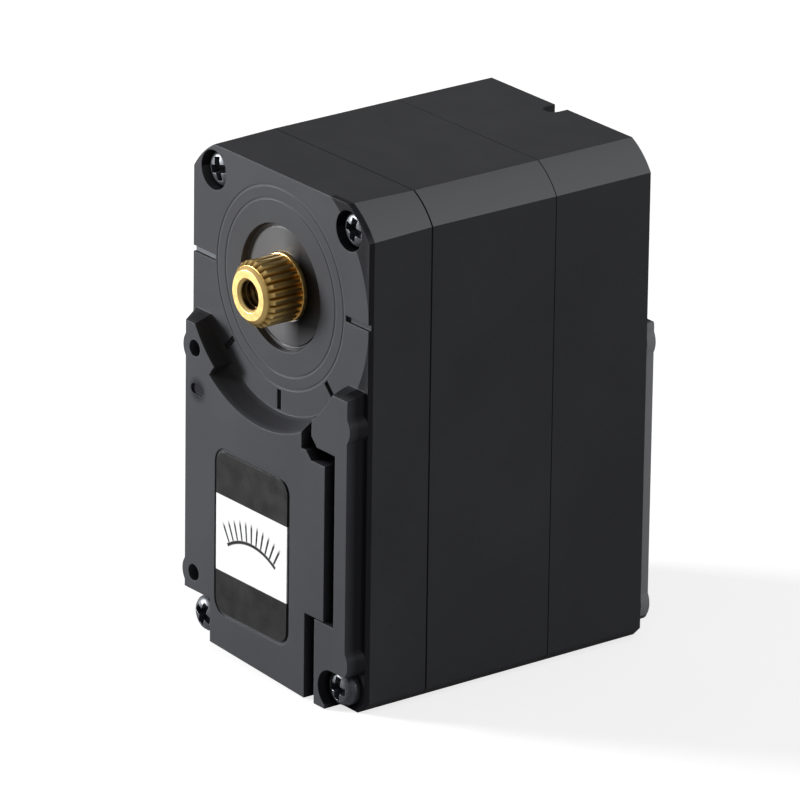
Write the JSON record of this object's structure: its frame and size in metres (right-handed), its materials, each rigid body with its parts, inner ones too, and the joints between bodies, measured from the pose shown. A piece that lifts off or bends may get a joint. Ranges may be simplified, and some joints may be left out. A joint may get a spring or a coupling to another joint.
{
  "type": "serial bus servo",
  "caption": "Geared servo in a three-part dark grey case with a splined brass output shaft, raised bracket rails and three-pin bus sockets.",
  "frame": {"origin": "on the output shaft's axis, in the plane of the case's front face", "axes": "-Y out of the front along the output shaft, +X to the right seen from the front, +Z along the case toward its shaft end"},
  "size_m": [0.0249, 0.0345, 0.0452],
  "materials": {
    "case_plastic": "fine satin moulding",
    "screw_steel": "black zinc, cross recess",
    "label_film": "satin printed film",
    "washer_plastic": "smooth dark grey",
    "shaft_brass": "machined",
    "gear_brass": "hobbed",
    "gear_steel": "hobbed",
    "bearing_steel": "ground",
    "bush_bronze": "sintered",
    "motor_steel": "nickel plated",
    "core_steel": "laminated",
    "magnet_ferrite": "dull grey",
    "winding_copper": "enamelled wire",
    "brush_carbon": "dull black",
    "end_cap_plastic": "off-white moulding",
    "sensor_plastic": "blue moulding",
    "rotor_plastic": "white moulding",
    "board_laminate": "green solder mask",
    "chip_resin": "moulded resin",
    "capacitor_resin": "yellow tantalum",
    "socket_plastic": "black moulding",
    "pin_plating": "tinned"
  },
  "bodies": {
    "housing": {"front_cover": "case_plastic", "middle_case": "case_plastic", "rear_cover": "case_plastic", "case_screws": "screw_steel", "front_label": "label_film", "dust_washer": "washer_plastic", "bearing_outer_ring": "bearing_steel", "bearing_balls": "bearing_steel", "rear_bush": "bush_bronze", "left_gear_pin": "bearing_steel", "right_gear_pin": "bearing_steel", "motor_can": "motor_steel", "motor_end_cap": "end_cap_plastic", "motor_front_bush": "bush_bronze", "motor_rear_bush": "bush_bronze", "motor_magnets": "magnet_ferrite", "motor_brushes": "brush_carbon", "motor_terminals": "pin_plating", "motor_screws": "screw_steel", "sensor_body": "sensor_plastic", "sensor_pins": "pin_plating", "main_board": "board_laminate", "board_screws": "screw_steel", "controller_chip": "chip_resin", "driver_chip": "chip_resin", "bulk_capacitor": "capacitor_resin", "voltage_regulator": "chip_resin", "left_socket": "socket_plastic", "right_socket": "socket_plastic", "socket_pins": "pin_plating"},
    "output": {"output_shaft": "shaft_brass", "output_gear": "gear_brass", "bearing_inner_ring": "bearing_steel", "sensor_rotor": "rotor_plastic"},
    "first_stage": {"first_gear": "gear_brass"},
    "second_stage": {"second_gear": "gear_brass"},
    "third_stage": {"third_gear": "gear_steel"},
    "motor_rotor": {"motor_shaft": "bearing_steel", "motor_pinion": "gear_brass", "armature_core": "core_steel", "armature_windings": "winding_copper", "motor_commutator": "winding_copper"}
  },
  "joints": [
    {"name": "motor_turn", "type": "hinge", "parent": "housing", "child": "motor_rotor", "pos_m": [-0.002, 0.016, -0.02035], "axis": [0, -1, 0], "range_deg": [-17559.04, 17559.04]},
    {"name": "output_turn", "type": "hinge", "parent": "housing", "child": "output", "pos_m": [0, 0, 0], "axis": [0, -1, 0], "range_deg": [-120.01, 120.01]},
    {"name": "first_gear_turn", "type": "hinge", "parent": "housing", "child": "first_stage", "pos_m": [-0.0023, 0.0095, -0.01076], "axis": [0, -1, 0], "range_deg": [-4621.26, 4621.26]},
    {"name": "second_gear_turn", "type": "hinge", "parent": "housing", "child": "second_stage", "pos_m": [0.0027, 0.008, -0.01895], "axis": [0, -1, 0], "range_deg": [-1216.12, 1216.12]},
    {"name": "third_gear_turn", "type": "hinge", "parent": "housing", "child": "third_stage", "pos_m": [-0.0023, 0.006, -0.01076], "axis": [0, -1, 0], "range_deg": [-320.03, 320.03]}
  ],
  "couplings": [
    {"joint": "first_gear_turn", "follows": "motor_turn", "ratio": -0.26316},
    {"joint": "second_gear_turn", "follows": "motor_turn", "ratio": 0.069252},
    {"joint": "third_gear_turn", "follows": "motor_turn", "ratio": -0.018224},
    {"joint": "output_turn", "follows": "motor_turn", "ratio": 0.0068341}
  ]
}
